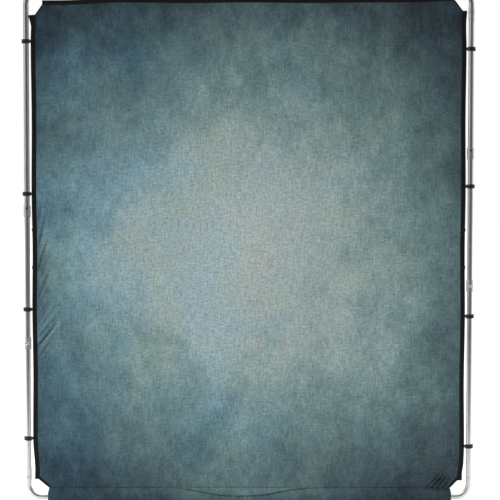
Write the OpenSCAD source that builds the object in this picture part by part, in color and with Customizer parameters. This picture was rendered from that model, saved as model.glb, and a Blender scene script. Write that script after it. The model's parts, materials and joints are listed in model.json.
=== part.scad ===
// Collapsible backdrop panel: a folding tube frame with a printed cover clipped into it.
// X runs along the rails, Y runs from the front of the panel to its back, Z is up.
// The origin is the middle of the top rail, on its centreline.

/* [Frame] */
// Overall width over the tubes
frame_w = 2000; // [1800:10:2200]
// Height from the top rail's centreline to the bottom rail's centreline
frame_h = 2255; // [2200:5:2400]
// Outside diameter of the frame tube
tube_d = 25; // [24:0.5:26]
// Wall thickness of the frame tube
tube_wall = 1.5; // [1.2:0.1:2]
// Centreline radius of the corner bends
corner_r = 57; // [50:1:60]

/* [Legs] */
// Depth of the left leg's upper hinge below the top rail
left_hinge_drop = 973; // [950:1:1000]
// Depth of the right leg's upper hinge below the top rail
right_hinge_drop = 716; // [690:1:740]
// Length of the folding middle leg, from hinge to hinge
link_len = 590; // [570:1:600]
// Length of the long corner joints, from the rail's centreline
long_joint_drop = 130; // [120:1:140]
// Length of the short corner joints, from the rail's centreline
short_joint_drop = 66; // [64:1:70]

/* [Hinges] */
// Radius of the hinge collars
collar_r = 15.5; // [15:0.1:15.8]
// Length of each half collar
collar_len = 26; // [22:1:30]
// Distance of the hinge pin from the tube's centreline
pin_offset = 16.5; // [16.3:0.1:18]
// Radius of the hinge pin
pin_r = 2.5; // [2:0.1:3]
// Radius of the knuckles round the pin
knuckle_r = 5.5; // [5:0.1:6]

/* [Cover] */
// Width of the black binding
border_w = 21; // [18:1:25]
// Gap between the binding and the side tubes
side_gap = 7.5; // [7:0.1:9]
// Gap between the top rail's centreline and the binding
top_gap = 26; // [24:1:30]
// Depth of the seam above the bottom flap, below the top rail
seam_drop = 2210; // [2180:1:2212]
// Thickness of the printed cloth
cloth_t = 1.2; // [0.8:0.1:2]
// Thickness of the binding
binding_t = 3; // [2:0.5:4]

/* [Clips] */
// Height of a moulded clip along its tube
clip_w = 18; // [16:1:24]
// Thickness of a clip's wall
clip_t = 3.7; // [3:0.1:4]
// Depths of the clips on the left leg: two on the upper leg, one on the middle, one on the lower
left_clip_drops = [219, 895, 1411, 1991]; // [0:1:2255]
// Depths of the clips on the right leg: one on the upper leg, one on the middle, two on the lower
right_clip_drops = [253, 862, 1442, 2027]; // [0:1:2255]
// Distance of the outer clips on the top rail from its middle
top_clip_x = 560; // [300:10:800]

/* [Hidden] */
$fn = 48;
eps = 1;
tube_r = tube_d / 2;
bore_r = tube_r - tube_wall;
leg_x = frame_w / 2 - tube_r;

// Parts that are pushed into a tube, and how far they go in
plug_r = bore_r - 0.05;
plug_bore_r = plug_r - 1.5;
plug_len = 42;
long_plug_len = 58;
shoulder_len = 6;
collar_web = 2;
rail_stub = 45;
rail_joint_x = leg_x - corner_r - rail_stub;
coupler_len = 160;

// Raised sleeve on the two long corner joints, with a bead at its mouth and a boss round its button
sleeve_r = tube_r + 1.1;
sleeve_len = 60;
sleeve_lap = 0.5;
bead_r = tube_r + 2;
bead_len = 4;
boss_r = 8;
boss_bore_r = 6;
boss_proud = 0.9;

// Hinges
clear = 0.3;
half_gap = clear / 2;
tongue_half = 5;
ear_out = 11;
knuckle_reach = 9;
pin_head_r = 3.6;
pin_head_t = 1;
pin_run = 0.05;

// Lock buttons in the hinges and snap buttons in the corner joints
lock_r = 4.8;
lock_z = 14;
lock_proud = 2.2;
lock_len = 9;
lock_bore = 12;
button_run = 0.1;
snap_r = 4;
snap_proud = 2.6;
snap_len = 6.5;
snap_back = 22;
snap_up = 39;
button_chamfer = 1;
leaf_t = 1;
leaf_w = 7;
leaf_len = 24;
leaf_seat = 7.7;
leaf_past = 2;
leaf_tail = 8;
leaf_extra = 18;
leaf_turn = 9;
leaf_hook = 2;
rivet_r = 2;
rivet_run = 0.05;
rivet_head_r = 3.6;
rivet_head_t = 1.2;
rivet_len = 4;
rivet_back = 20;

// Clips: the bar that the webbing loop holds lies beside the tube, towards the cover
clip_bore_r = tube_r + 0.3;
clip_out_r = clip_bore_r + clip_t;
bar_in = 15.5;
bar_front = 8;
bar_r = 1.5;
lug_r = 3;
lug_t = 3;
body_from = -140;
eye_angle = -153;
tip_angle = 24;
lip_r = 20;
lip_from = 4;
lip_to = 18;
lip_lap = 0.5;
clip_mid_angle = -60;
clip_mid_lap = 0.5;

// Webbing loops
loop_r = 2.9;
loop_bore_r = 1.7;
web_t = loop_r - loop_bore_r;
web_play = 0.6;
web_w = clip_w - 2 * lug_t - web_play;
web_behind = binding_t / 2 + clear;
side_tail = 18;
top_tail = 24;

// Cover outline
side_out = leg_x - tube_r - side_gap;
side_in = side_out - border_w;
top_out = -top_gap;
top_in = -48;
edge_band_w = 4;
edge_band_lap = 8;
edge_band_start = 5;
top_left_cut_w = 33.5;
top_left_cut = [side_in - top_left_cut_w, -67];
top_left_side = -100;
top_right_cut_w = 38.5;
top_right_cut_x = side_in - top_right_cut_w;
top_right_side = -84;
bottom_left_cut_w = 50.5;
bottom_left_cut_x = side_in - bottom_left_cut_w;
bottom_left_side = -2168;
bottom_right_cut_w = 42.5;
bottom_right_cut_x = side_in - bottom_right_cut_w;
bottom_right_side = -2175;

// Webbing grips on the side bindings
grip_top = -1049;
grip_len = 182;
grip_t = 1.5;
tack_len = 14;
tack_t = 3;

// Bottom flap
flap_left = -895;
flap_right = 902;
flap_play = 0.4;
flap_in_r = tube_r + rivet_head_t + flap_play;
flap_t = 1.2;
flap_out_r = flap_in_r + flap_t;
flap_fold_in = 23;
flap_fold_out = 24;
tape_t = 1;
tape_half_angle = 32;

left_low_drop = left_hinge_drop + link_len;
right_low_drop = right_hinge_drop + link_len;

// ---- placing ----
// Everything on a leg or in a corner is drawn for the right-hand side and mirrored for the left
module on_side(side) {
    if (side < 0) mirror([1, 0, 0]) children();
    else children();
}

// Corners are drawn for the top and mirrored down to the bottom rail
module at_bottom() {
    translate([0, 0, -frame_h]) mirror([0, 0, 1]) children();
}

module on_leg(z) {
    translate([leg_x, 0, z]) children();
}

// Turns a shape drawn along Z to run along X
module along_x(x) {
    translate([x, 0, 0]) rotate([0, 90, 0]) children();
}

// Stands a flat outline up in the XZ plane, with its thickness centred on Y = 0
module upright(t) {
    rotate([90, 0, 0]) linear_extrude(height = t, center = true) children();
}

// ---- tubes ----
module ring(h, r_out, r_in) {
    difference() {
        cylinder(h = h, r = r_out);
        translate([0, 0, -eps]) cylinder(h = h + 2 * eps, r = r_in);
    }
}

module leg_tube(top, bottom) {
    translate([0, 0, bottom]) ring(top - bottom, tube_r, bore_r);
}

// A reduced end that goes down into the next tube, with the shoulder that carries it
module spigot(len) {
    translate([0, 0, -len]) ring(len + shoulder_len, plug_r, plug_bore_r);
    ring(shoulder_len, tube_r, plug_bore_r);
}

// A hole through the front wall only
module front_hole(r) {
    rotate([90, 0, 0]) cylinder(h = tube_r + 3 * eps, r = r);
}

module back_hole(r) {
    rotate([-90, 0, 0]) cylinder(h = tube_r + 3 * eps, r = r);
}

module bend() {
    translate([leg_x - corner_r, 0, -corner_r])
        rotate([90, 0, 0])
            rotate_extrude(angle = 90)
                translate([corner_r, 0])
                    difference() {
                        circle(r = tube_r);
                        circle(r = bore_r);
                    }
}

// The elbow's end on the rail, which goes into the rail's tube
module rail_end() {
    difference() {
        union() {
            along_x(rail_joint_x) ring(rail_stub, tube_r, bore_r);
            along_x(rail_joint_x) spigot(plug_len);
        }
        translate([rail_joint_x - rivet_back, 0, 0]) back_hole(rivet_r + rivet_run);
    }
}

// Short corner joint: the elbow's reduced end goes down into the leg
module short_elbow() {
    bend();
    rail_end();
    difference() {
        union() {
            on_leg(0) leg_tube(-corner_r, -short_joint_drop);
            on_leg(-short_joint_drop) spigot(plug_len);
        }
        on_leg(-short_joint_drop - snap_back) front_hole(snap_r + button_run);
    }
}

// A round boss on the front of the sleeve
module boss() {
    difference() {
        rotate([90, 0, 0]) cylinder(h = sleeve_r + boss_proud, r = boss_r);
        translate([0, 0, -boss_r - eps]) cylinder(h = 2 * (boss_r + eps), r = tube_r - sleeve_lap);
    }
}

// Long corner joint: the leg's reduced end goes up into the elbow's sleeve
module long_elbow() {
    bend();
    rail_end();
    difference() {
        union() {
            on_leg(0) leg_tube(-corner_r, -long_joint_drop);
            on_leg(-long_joint_drop) ring(sleeve_len, sleeve_r, tube_r - sleeve_lap);
            on_leg(-long_joint_drop) ring(bead_len, bead_r, tube_r - sleeve_lap);
            on_leg(snap_up - long_joint_drop) boss();
        }
        on_leg(snap_up - long_joint_drop) {
            front_hole(snap_r + button_run);
            translate([0, -sleeve_r, 0]) rotate([90, 0, 0]) cylinder(h = boss_proud + eps, r = boss_bore_r);
        }
    }
}

// Legs between a corner joint and the ears of the nearest hinge
module short_joint_leg(hinge_drop) {
    on_leg(0)
        difference() {
            leg_tube(-short_joint_drop, -hinge_drop + collar_len);
            translate([0, 0, -short_joint_drop - snap_back]) front_hole(snap_r + button_run);
        }
}

module long_joint_leg(hinge_drop) {
    on_leg(0)
        difference() {
            union() {
                leg_tube(-long_joint_drop - shoulder_len, -hinge_drop + collar_len);
                translate([0, 0, -long_joint_drop]) mirror([0, 0, 1]) spigot(long_plug_len);
            }
            translate([0, 0, snap_up - long_joint_drop]) front_hole(snap_r + button_run);
        }
}

module middle_leg(hinge_drop) {
    on_leg(0) leg_tube(-hinge_drop - collar_len, -hinge_drop - link_len + collar_len);
}

module half_rail() {
    difference() {
        along_x(0) ring(rail_joint_x, tube_r, bore_r);
        translate([rail_joint_x - rivet_back, 0, 0]) back_hole(rivet_r + rivet_run);
        translate([coupler_len / 2 - rivet_back, 0, 0]) back_hole(rivet_r + rivet_run);
    }
}

module rail_coupler() {
    difference() {
        along_x(-coupler_len / 2) ring(coupler_len, plug_r, plug_bore_r);
        for (side = [-1, 1])
            translate([side * (coupler_len / 2 - rivet_back), 0, 0]) back_hole(rivet_r + rivet_run);
    }
}

// Blind rivets in the back of a rail, two at its corner joints and two at its coupler
module rail_rivets() {
    for (side = [-1, 1], x = [rail_joint_x - rivet_back, coupler_len / 2 - rivet_back])
        translate([side * x, tube_r - rivet_len, 0])
            rotate([-90, 0, 0]) {
                cylinder(h = rivet_len, r = rivet_r);
                translate([0, 0, rivet_len]) cylinder(h = rivet_head_t, r1 = rivet_head_r, r2 = rivet_r);
            }
}

// ---- hinges ----
// A knuckle's outline in the YZ plane, extruded along X from x0 to x1; up is 1 or -1
module knuckle(x0, x1, up) {
    translate([x0, 0, 0])
        rotate([90, 0, 90])
            linear_extrude(height = x1 - x0) {
                translate([pin_offset, 0]) circle(r = knuckle_r);
                translate([pin_offset - knuckle_reach, up > 0 ? half_gap : -knuckle_r])
                    square([knuckle_reach, knuckle_r - half_gap]);
            }
}

module pin_line(x0, x1, r) {
    translate([x0, pin_offset, 0]) rotate([0, 90, 0]) cylinder(h = x1 - x0, r = r);
}

module hinge_ears() {
    difference() {
        union() {
            translate([0, 0, half_gap]) cylinder(h = collar_len - half_gap, r = collar_r);
            translate([0, 0, collar_len - eps]) cylinder(h = plug_len + eps, r = plug_r);
            knuckle(tongue_half + clear, ear_out, 1);
            knuckle(-ear_out, -tongue_half - clear, 1);
        }
        pin_line(-tongue_half - clear, tongue_half + clear, knuckle_r + clear);
        pin_line(-ear_out - eps, ear_out + eps, pin_r);
        translate([0, -collar_r + lock_bore, lock_z])
            rotate([90, 0, 0]) cylinder(h = lock_bore + eps, r = lock_r + button_run);
        translate([0, 0, collar_len + collar_web]) cylinder(h = plug_len, r = plug_bore_r);
    }
}

module hinge_tongue() {
    difference() {
        union() {
            translate([0, 0, -collar_len]) cylinder(h = collar_len - half_gap, r = collar_r);
            translate([0, 0, -collar_len - plug_len]) cylinder(h = plug_len + eps, r = plug_r);
            knuckle(-tongue_half, tongue_half, -1);
        }
        pin_line(tongue_half, collar_r + eps, knuckle_r + clear);
        pin_line(-collar_r - eps, -tongue_half, knuckle_r + clear);
        pin_line(-tongue_half - eps, tongue_half + eps, pin_r + pin_run);
        translate([0, 0, -collar_len - collar_web - plug_len]) cylinder(h = plug_len, r = plug_bore_r);
    }
}

module hinge_pin() {
    pin_line(-ear_out - pin_head_t, ear_out + pin_head_t, pin_r);
    pin_line(-ear_out - pin_head_t, -ear_out, pin_head_r);
    pin_line(ear_out, ear_out + pin_head_t, pin_head_r);
}

// The upper hinges fold back about a pin behind the tube. The lower ones are the same, end for end.
module upper_hinge(drop) {
    on_leg(-drop) children();
}

module lower_hinge(drop) {
    on_leg(-drop) rotate([180, 0, 0]) children();
}

// The lock button's dome stands proud of the collar's front
module lock_button() {
    translate([0, -collar_r - lock_proud, lock_z])
        rotate([-90, 0, 0]) {
            cylinder(h = button_chamfer, r1 = lock_r - button_chamfer, r2 = lock_r);
            translate([0, 0, button_chamfer]) cylinder(h = lock_len - button_chamfer, r = lock_r);
        }
}

// ---- snap buttons ----
// Places a button and its spring. The spring points up the leg in a short joint and down it in a long one.
module short_joint_spring() {
    on_leg(-short_joint_drop - snap_back) children();
}

module long_joint_spring() {
    on_leg(snap_up - long_joint_drop) mirror([0, 0, 1]) children();
}

// A push button on the moving arm of a V-shaped leaf spring inside the joint
module snap_button() {
    translate([0, -tube_r - snap_proud, 0])
        rotate([-90, 0, 0]) {
            cylinder(h = button_chamfer, r1 = snap_r - button_chamfer, r2 = snap_r);
            translate([0, 0, button_chamfer]) cylinder(h = snap_len - button_chamfer, r = snap_r);
        }
    translate([-leaf_w / 2, -tube_r - snap_proud + snap_len, -snap_r - leaf_past])
        cube([leaf_w, leaf_t, leaf_len]);
}

// The fixed arm of the leaf spring lies along the back of the bore and bends towards the button's arm
module leaf_spring() {
    translate([-leaf_w / 2, leaf_seat, -snap_r - leaf_tail]) cube([leaf_w, leaf_t, leaf_len + leaf_extra]);
    translate([-leaf_w / 2, -leaf_hook, leaf_len + leaf_turn - snap_r])
        cube([leaf_w, leaf_seat + leaf_hook + leaf_t, leaf_t]);
}

// ---- clips and webbing ----
// A sector of a flat ring, from angle a to angle b, less than half a turn
module ring_sector(r_out, r_in, a, b) {
    reach = 2 * r_out;
    mid = (a + b) / 2;
    difference() {
        intersection() {
            circle(r = r_out);
            polygon([
                [0, 0],
                [reach * cos(a), reach * sin(a)],
                [reach * cos(mid), reach * sin(mid)],
                [reach * cos(b), reach * sin(b)]
            ]);
        }
        circle(r = r_in);
    }
}

// Drawn round a tube on Z with the cover on its -X side: it wraps the front and passes the far side
module clip() {
    translate([0, 0, -clip_w / 2])
        linear_extrude(height = clip_w) {
            ring_sector(clip_out_r, clip_bore_r, body_from, clip_mid_angle);
            ring_sector(clip_out_r, clip_bore_r, clip_mid_angle - clip_mid_lap, tip_angle);
            ring_sector(lip_r, clip_out_r - lip_lap, lip_from, lip_to);
        }
    for (z = [-clip_w / 2, clip_w / 2 - lug_t])
        translate([0, 0, z])
            linear_extrude(height = lug_t) {
                ring_sector(clip_out_r, clip_bore_r, eye_angle, body_from + 1);
                translate([-bar_in, -bar_front]) circle(r = lug_r);
            }
    translate([-bar_in, -bar_front, -clip_w / 2]) cylinder(h = clip_w, r = bar_r);
}

// A webbing loop round the clip's bar, with a tail sewn to the back of the binding
module web_loop(tail) {
    translate([-bar_in, -bar_front, -web_w / 2])
        difference() {
            linear_extrude(height = web_w) {
                circle(r = loop_r);
                translate([-loop_r, 0]) square([web_t, bar_front + web_behind + web_t]);
                translate([-loop_r - tail, bar_front + web_behind]) square([tail + web_t, web_t]);
            }
            translate([0, 0, -eps]) cylinder(h = web_w + 2 * eps, r = loop_bore_r);
        }
}

module on_top_rail(x) {
    translate([x, 0, 0]) rotate([0, -90, 0]) children();
}

// ---- cover ----
// A narrow band from point p on the side binding to point q, lapped into the binding behind p.
// It lies on the left of that direction if hand is 1, and on the right if it is -1.
module edge_band(p, q, hand) {
    d = q - p;
    translate(p)
        rotate(atan2(d[1], d[0]))
            translate([-edge_band_lap, hand > 0 ? 0 : -edge_band_w])
                square([norm(d) + edge_band_lap, edge_band_w]);
}

module tube_color() {
    color("#c9ccce") children();
}

module cast_color() {
    color("#b4b7b9") children();
}

module black_color() {
    color("#17181a") children();
}

// ---- nodes: top unit ----
module top_rail_right() {
    tube_color() half_rail();
}

module top_rail_left() {
    tube_color() on_side(-1) half_rail();
}

module top_rail_coupler() {
    cast_color() rail_coupler();
}

module top_left_elbow() {
    tube_color() on_side(-1) short_elbow();
}

module top_right_elbow() {
    tube_color() long_elbow();
}

module left_upper_leg() {
    tube_color() on_side(-1) short_joint_leg(left_hinge_drop);
}

module right_upper_leg() {
    tube_color() long_joint_leg(right_hinge_drop);
}

module left_upper_hinge_ears() {
    cast_color() on_side(-1) upper_hinge(left_hinge_drop) hinge_ears();
}

module right_upper_hinge_ears() {
    cast_color() upper_hinge(right_hinge_drop) hinge_ears();
}

module upper_hinge_pins() {
    cast_color() {
        on_side(-1) upper_hinge(left_hinge_drop) hinge_pin();
        upper_hinge(right_hinge_drop) hinge_pin();
    }
}

module top_rivets() {
    cast_color() rail_rivets();
}

module top_springs() {
    cast_color() {
        on_side(-1) short_joint_spring() leaf_spring();
        long_joint_spring() leaf_spring();
    }
}

// ---- nodes: middle legs ----
module left_middle_leg() {
    tube_color() on_side(-1) middle_leg(left_hinge_drop);
}

module left_upper_hinge_tongue() {
    cast_color() on_side(-1) upper_hinge(left_hinge_drop) hinge_tongue();
}

module left_lower_hinge_tongue() {
    cast_color() on_side(-1) lower_hinge(left_low_drop) hinge_tongue();
}

module right_middle_leg() {
    tube_color() middle_leg(right_hinge_drop);
}

module right_upper_hinge_tongue() {
    cast_color() upper_hinge(right_hinge_drop) hinge_tongue();
}

module right_lower_hinge_tongue() {
    cast_color() lower_hinge(right_low_drop) hinge_tongue();
}

// ---- nodes: bottom unit ----
module bottom_rail_right() {
    tube_color() at_bottom() half_rail();
}

module bottom_rail_left() {
    tube_color() at_bottom() on_side(-1) half_rail();
}

module bottom_rail_coupler() {
    cast_color() at_bottom() rail_coupler();
}

module bottom_left_elbow() {
    tube_color() at_bottom() on_side(-1) long_elbow();
}

module bottom_right_elbow() {
    tube_color() at_bottom() short_elbow();
}

module left_lower_leg() {
    tube_color() at_bottom() on_side(-1) long_joint_leg(frame_h - left_low_drop);
}

module right_lower_leg() {
    tube_color() at_bottom() short_joint_leg(frame_h - right_low_drop);
}

module left_lower_hinge_ears() {
    cast_color() on_side(-1) lower_hinge(left_low_drop) hinge_ears();
}

module right_lower_hinge_ears() {
    cast_color() lower_hinge(right_low_drop) hinge_ears();
}

module lower_hinge_pins() {
    cast_color() {
        on_side(-1) lower_hinge(left_low_drop) hinge_pin();
        lower_hinge(right_low_drop) hinge_pin();
    }
}

module bottom_rivets() {
    cast_color() at_bottom() rail_rivets();
}

module bottom_springs() {
    cast_color() at_bottom() {
        on_side(-1) long_joint_spring() leaf_spring();
        short_joint_spring() leaf_spring();
    }
}

// ---- nodes: buttons ----
module lock_button_left_upper() {
    black_color() on_side(-1) upper_hinge(left_hinge_drop) lock_button();
}

module lock_button_right_upper() {
    black_color() upper_hinge(right_hinge_drop) lock_button();
}

module lock_button_left_lower() {
    black_color() on_side(-1) lower_hinge(left_low_drop) lock_button();
}

module lock_button_right_lower() {
    black_color() lower_hinge(right_low_drop) lock_button();
}

module snap_button_top_left() {
    cast_color() on_side(-1) short_joint_spring() snap_button();
}

module snap_button_top_right() {
    cast_color() long_joint_spring() snap_button();
}

module snap_button_bottom_left() {
    cast_color() at_bottom() on_side(-1) long_joint_spring() snap_button();
}

module snap_button_bottom_right() {
    cast_color() at_bottom() short_joint_spring() snap_button();
}

// ---- nodes: cover ----
module fabric_panel() {
    color("#5f7f88")
        upright(cloth_t)
            polygon([
                [-top_left_cut[0], top_in],
                [-top_left_cut[0], top_left_cut[1]],
                [-side_in, top_left_side],
                [-side_in, bottom_left_side],
                [-bottom_left_cut_x, -seam_drop],
                [bottom_right_cut_x, -seam_drop],
                [side_in, bottom_right_side],
                [side_in, top_right_side],
                [top_right_cut_x, top_in]
            ]);
}

module border_left() {
    black_color()
        upright(binding_t) {
            translate([-side_out, bottom_left_side]) square([border_w, top_left_side - bottom_left_side]);
            edge_band([-side_in, top_left_side], [-top_left_cut[0], top_left_cut[1]], 1);
            edge_band([-side_in, bottom_left_side], [-bottom_left_cut_x, -seam_drop], -1);
        }
}

module border_right() {
    black_color()
        upright(binding_t) {
            translate([side_in, bottom_right_side]) square([border_w, top_right_side - bottom_right_side]);
            edge_band([side_in, top_right_side], [top_right_cut_x, top_in], -1);
            edge_band([side_in, bottom_right_side], [bottom_right_cut_x, -seam_drop], 1);
        }
}

module border_top() {
    black_color()
        upright(binding_t) {
            translate([-top_left_cut[0], top_in])
                square([top_left_cut[0] + top_right_cut_x, top_out - top_in]);
            translate([-top_left_cut[0] - edge_band_w, top_left_cut[1] + edge_band_start])
                square([edge_band_w, top_out - top_left_cut[1] - edge_band_start]);
        }
}

// Webbing grips sewn down behind the side bindings, bar tacked at both ends
module side_grips() {
    black_color()
        for (side = [-1, 1])
            on_side(side)
                translate([0, 0, grip_top - grip_len]) {
                    translate([side_in, binding_t / 2, 0]) cube([border_w, grip_t, grip_len]);
                    for (z = [0, grip_len - tack_len])
                        translate([side_out, -grip_t, z])
                            cube([tack_t, binding_t / 2 + 2 * grip_t, tack_len]);
                }
}

module bottom_flap() {
    color("#55727c")
        translate([flap_left, 0, -frame_h])
            rotate([90, 0, 90])
                linear_extrude(height = flap_right - flap_left) {
                    difference() {
                        circle(r = flap_out_r);
                        circle(r = flap_in_r);
                    }
                    polygon([
                        [-flap_out_r, 0],
                        [-flap_in_r, 0],
                        [-flap_in_r, flap_fold_in],
                        [cloth_t / 2, frame_h - seam_drop - clear],
                        [-cloth_t / 2, frame_h - seam_drop - clear],
                        [-flap_out_r, flap_fold_out]
                    ]);
                }
}

module flap_closure_tape() {
    black_color()
        translate([flap_left, 0, -frame_h])
            rotate([90, 0, 90])
                linear_extrude(height = flap_right - flap_left)
                    ring_sector(flap_out_r + tape_t, flap_out_r, -tape_half_angle, tape_half_angle);
}

// ---- nodes: webbing loops and clips ----
module side_loop(side, drop) {
    on_side(side) on_leg(-drop) web_loop(side_tail);
}

module side_clip(side, drop) {
    black_color() on_side(side) on_leg(-drop) clip();
}

module top_unit_loops() {
    black_color() {
        side_loop(-1, left_clip_drops[0]);
        side_loop(-1, left_clip_drops[1]);
        side_loop(1, right_clip_drops[0]);
        for (x = [-top_clip_x, 0, top_clip_x]) on_top_rail(x) web_loop(top_tail);
    }
}

module left_middle_loop() {
    black_color() side_loop(-1, left_clip_drops[2]);
}

module right_middle_loop() {
    black_color() side_loop(1, right_clip_drops[1]);
}

module bottom_unit_loops() {
    black_color() {
        side_loop(-1, left_clip_drops[3]);
        side_loop(1, right_clip_drops[2]);
        side_loop(1, right_clip_drops[3]);
    }
}

module clip_left_1() side_clip(-1, left_clip_drops[0]);
module clip_left_2() side_clip(-1, left_clip_drops[1]);
module clip_left_3() side_clip(-1, left_clip_drops[2]);
module clip_left_4() side_clip(-1, left_clip_drops[3]);
module clip_right_1() side_clip(1, right_clip_drops[0]);
module clip_right_2() side_clip(1, right_clip_drops[1]);
module clip_right_3() side_clip(1, right_clip_drops[2]);
module clip_right_4() side_clip(1, right_clip_drops[3]);
module clip_top_left() black_color() on_top_rail(-top_clip_x) clip();
module clip_top_middle() black_color() on_top_rail(0) clip();
module clip_top_right() black_color() on_top_rail(top_clip_x) clip();

top_rail_left();
top_rail_right();
top_rail_coupler();
top_left_elbow();
top_right_elbow();
left_upper_leg();
right_upper_leg();
left_upper_hinge_ears();
right_upper_hinge_ears();
upper_hinge_pins();
top_rivets();
top_springs();
left_middle_leg();
left_upper_hinge_tongue();
left_lower_hinge_tongue();
right_middle_leg();
right_upper_hinge_tongue();
right_lower_hinge_tongue();
bottom_rail_left();
bottom_rail_right();
bottom_rail_coupler();
bottom_left_elbow();
bottom_right_elbow();
left_lower_leg();
right_lower_leg();
left_lower_hinge_ears();
right_lower_hinge_ears();
lower_hinge_pins();
bottom_rivets();
bottom_springs();
lock_button_left_upper();
lock_button_right_upper();
lock_button_left_lower();
lock_button_right_lower();
snap_button_top_left();
snap_button_top_right();
snap_button_bottom_left();
snap_button_bottom_right();
fabric_panel();
border_left();
border_right();
border_top();
side_grips();
bottom_flap();
flap_closure_tape();
top_unit_loops();
left_middle_loop();
right_middle_loop();
bottom_unit_loops();
clip_left_1();
clip_left_2();
clip_left_3();
clip_left_4();
clip_right_1();
clip_right_2();
clip_right_3();
clip_right_4();
clip_top_left();
clip_top_middle();
clip_top_right();
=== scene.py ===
import json
import math
import random

import bpy
import numpy as np
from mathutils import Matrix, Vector


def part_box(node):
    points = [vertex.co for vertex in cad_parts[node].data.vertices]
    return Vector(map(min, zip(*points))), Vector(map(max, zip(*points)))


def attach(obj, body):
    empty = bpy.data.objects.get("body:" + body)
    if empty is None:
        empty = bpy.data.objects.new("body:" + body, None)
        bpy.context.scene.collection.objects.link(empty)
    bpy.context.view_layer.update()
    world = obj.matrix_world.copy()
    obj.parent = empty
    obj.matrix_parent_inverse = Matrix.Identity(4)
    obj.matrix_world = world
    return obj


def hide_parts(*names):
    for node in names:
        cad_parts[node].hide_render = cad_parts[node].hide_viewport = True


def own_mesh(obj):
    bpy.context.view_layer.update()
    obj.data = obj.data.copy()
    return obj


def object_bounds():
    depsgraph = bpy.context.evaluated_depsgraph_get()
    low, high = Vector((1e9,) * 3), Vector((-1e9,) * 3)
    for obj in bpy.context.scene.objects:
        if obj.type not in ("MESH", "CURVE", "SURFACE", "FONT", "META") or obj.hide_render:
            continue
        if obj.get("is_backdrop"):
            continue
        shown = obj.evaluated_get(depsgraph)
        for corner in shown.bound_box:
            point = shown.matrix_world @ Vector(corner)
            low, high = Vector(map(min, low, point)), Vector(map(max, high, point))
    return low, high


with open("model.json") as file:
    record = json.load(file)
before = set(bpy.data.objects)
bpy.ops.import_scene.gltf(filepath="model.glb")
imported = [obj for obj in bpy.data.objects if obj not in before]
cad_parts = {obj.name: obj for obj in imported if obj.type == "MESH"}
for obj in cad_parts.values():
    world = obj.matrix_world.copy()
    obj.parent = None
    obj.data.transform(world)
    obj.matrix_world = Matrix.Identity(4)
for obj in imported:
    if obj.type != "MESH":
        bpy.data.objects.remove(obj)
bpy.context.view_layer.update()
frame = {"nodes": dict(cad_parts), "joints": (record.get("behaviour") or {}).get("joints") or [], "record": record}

random.seed(11)

MM = 0.001


# ---- places taken from the frame ----
def middle(node):
    low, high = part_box(node)
    return (low + high) / 2


PANEL_LOW, PANEL_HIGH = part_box("fabric_panel")
OUT_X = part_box("border_right")[1].x
TOP_EDGE_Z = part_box("border_top")[1].z
FLAP_LOW, FLAP_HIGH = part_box("bottom_flap")
RAIL = middle("bottom_rail_right")
RAIL_LOW, RAIL_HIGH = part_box("bottom_rail_right")
RAIL_R = (RAIL_HIGH.z - RAIL_LOW.z) / 2
SEAM_DROP = 3 * MM      # how far the cloth's own weight pulls its lower edge down
SEAM_Z = PANEL_LOW.z - SEAM_DROP
BINDING_W = 21 * MM
BINDING_T = 3 * MM
INNER_X = OUT_X - BINDING_W
CLOTH_T = 1.0 * MM
SIDE_CLIPS = {
    -1: [middle(f"clip_left_{n}").z for n in range(1, 5)],
    1: [middle(f"clip_right_{n}").z for n in range(1, 5)],
}
TOP_CLIPS = [middle(f"clip_top_{n}").x for n in ("left", "middle", "right")]

# Where the side bindings end, and how far the corner cuts reach in from the bindings' inner edge
SIDE_TOP = {-1: PANEL_HIGH.z - 54 * MM, 1: PANEL_HIGH.z - 36 * MM}
SIDE_END = {-1: SEAM_Z + 37 * MM, 1: SEAM_Z + 31 * MM}
TOP_CUT = {-1: 31 * MM, 1: 33 * MM}
TOP_CUT_Z = {-1: PANEL_HIGH.z - 2 * MM, 1: PANEL_HIGH.z - 0.5 * MM}
SEAM_CUT = {-1: 50.5 * MM, 1: 42.5 * MM}
CLOTH_LAP = 4 * MM
CUT_LAP = 0.5 * MM


# ---- small helpers ----
def smooth(t):
    """Rises from 0 to 1 with soft ends."""
    t = np.clip(t, 0, 1)
    return t * t * (3 - 2 * t)


def srgb(r, g, b):
    """A colour given as 0-255 screen values, in Blender's linear values."""
    def linear(c):
        c = c / 255
        return c / 12.92 if c <= 0.04045 else ((c + 0.055) / 1.055) ** 2.4
    return (linear(r), linear(g), linear(b), 1)


def mesh_object(name, verts, faces, body, materials, uvs, face_slots):
    """A smooth-shaded piece that rides a body, with its cloth coordinates and a material for each face."""
    mesh = bpy.data.meshes.new(name)
    mesh.from_pydata([tuple(v) for v in verts], [], faces)
    for material in materials:
        mesh.materials.append(material)
    mesh.polygons.foreach_set("material_index", face_slots)
    mesh.polygons.foreach_set("use_smooth", [True] * len(mesh.polygons))
    layer = mesh.uv_layers.new(name="cloth")
    corner = np.zeros(len(mesh.loops), dtype=np.int32)
    mesh.loops.foreach_get("vertex_index", corner)
    layer.data.foreach_set("uv", np.asarray(uvs, float)[corner].ravel())
    mesh.validate()
    mesh.update()
    piece = bpy.data.objects.new(name, mesh)
    bpy.context.scene.collection.objects.link(piece)
    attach(piece, body)
    return piece


class Parts:
    """Collects closed forms into one mesh, each with its own material index."""

    def __init__(self):
        self.verts, self.faces, self.slots, self.uvs = [], [], [], []

    def add(self, verts, faces, index=0, uvs=None):
        start = len(self.verts)
        self.verts += [tuple(v) for v in verts]
        self.faces += [tuple(i + start for i in f) for f in faces]
        self.slots += [index] * len(faces)
        self.uvs += [tuple(u) for u in (uvs if uvs is not None else [(v[0], v[2]) for v in verts])]

    def build(self, name, body, materials):
        return mesh_object(name, self.verts, self.faces, body, materials, self.uvs, self.slots)


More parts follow.
